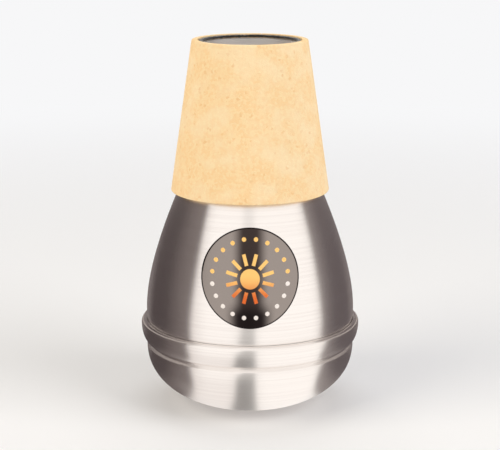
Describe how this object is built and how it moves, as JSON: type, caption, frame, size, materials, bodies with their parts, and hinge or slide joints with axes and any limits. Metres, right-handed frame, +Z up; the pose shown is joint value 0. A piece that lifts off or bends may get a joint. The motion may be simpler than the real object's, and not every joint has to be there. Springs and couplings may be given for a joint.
{
  "type": "practice mute",
  "caption": "Compact trumpet practice mute: spun aluminium bulb with a flat foot and a raised band, a cork cone round the neck, and an air tube inside.",
  "frame": {"origin": "centre of the flat foot, on the surface that the mute stands on", "axes": "+Z up along the axis that everything is turned about, towards the neck's mouth; -Y towards the label; +Y towards the cork's seam; +X to the right seen from the label's side"},
  "size_m": [0.06, 0.06, 0.1],
  "materials": {
    "spun_aluminium": "bright spun aluminium, finely brushed round the axis",
    "inner_aluminium": "plain turned aluminium",
    "cork": "pale fine-grained agglomerated cork, sanded, with small darker flecks",
    "felt": "black felt",
    "label": "semi-gloss black sticker with a plain geometric design in gold, orange and white",
    "adhesive": "set amber glue"
  },
  "bodies": {
    "root": {"body_shell": "spun_aluminium", "base_cup": "spun_aluminium", "throat_funnel": "inner_aluminium", "air_tube": "inner_aluminium", "vent_tube_1": "inner_aluminium", "vent_tube_2": "inner_aluminium", "vent_tube_3": "inner_aluminium", "cork_sleeve": "cork", "tip_felt_ring": "felt", "label_disc": "label", "seam_adhesive_ring": "adhesive"}
  },
  "joints": []
}
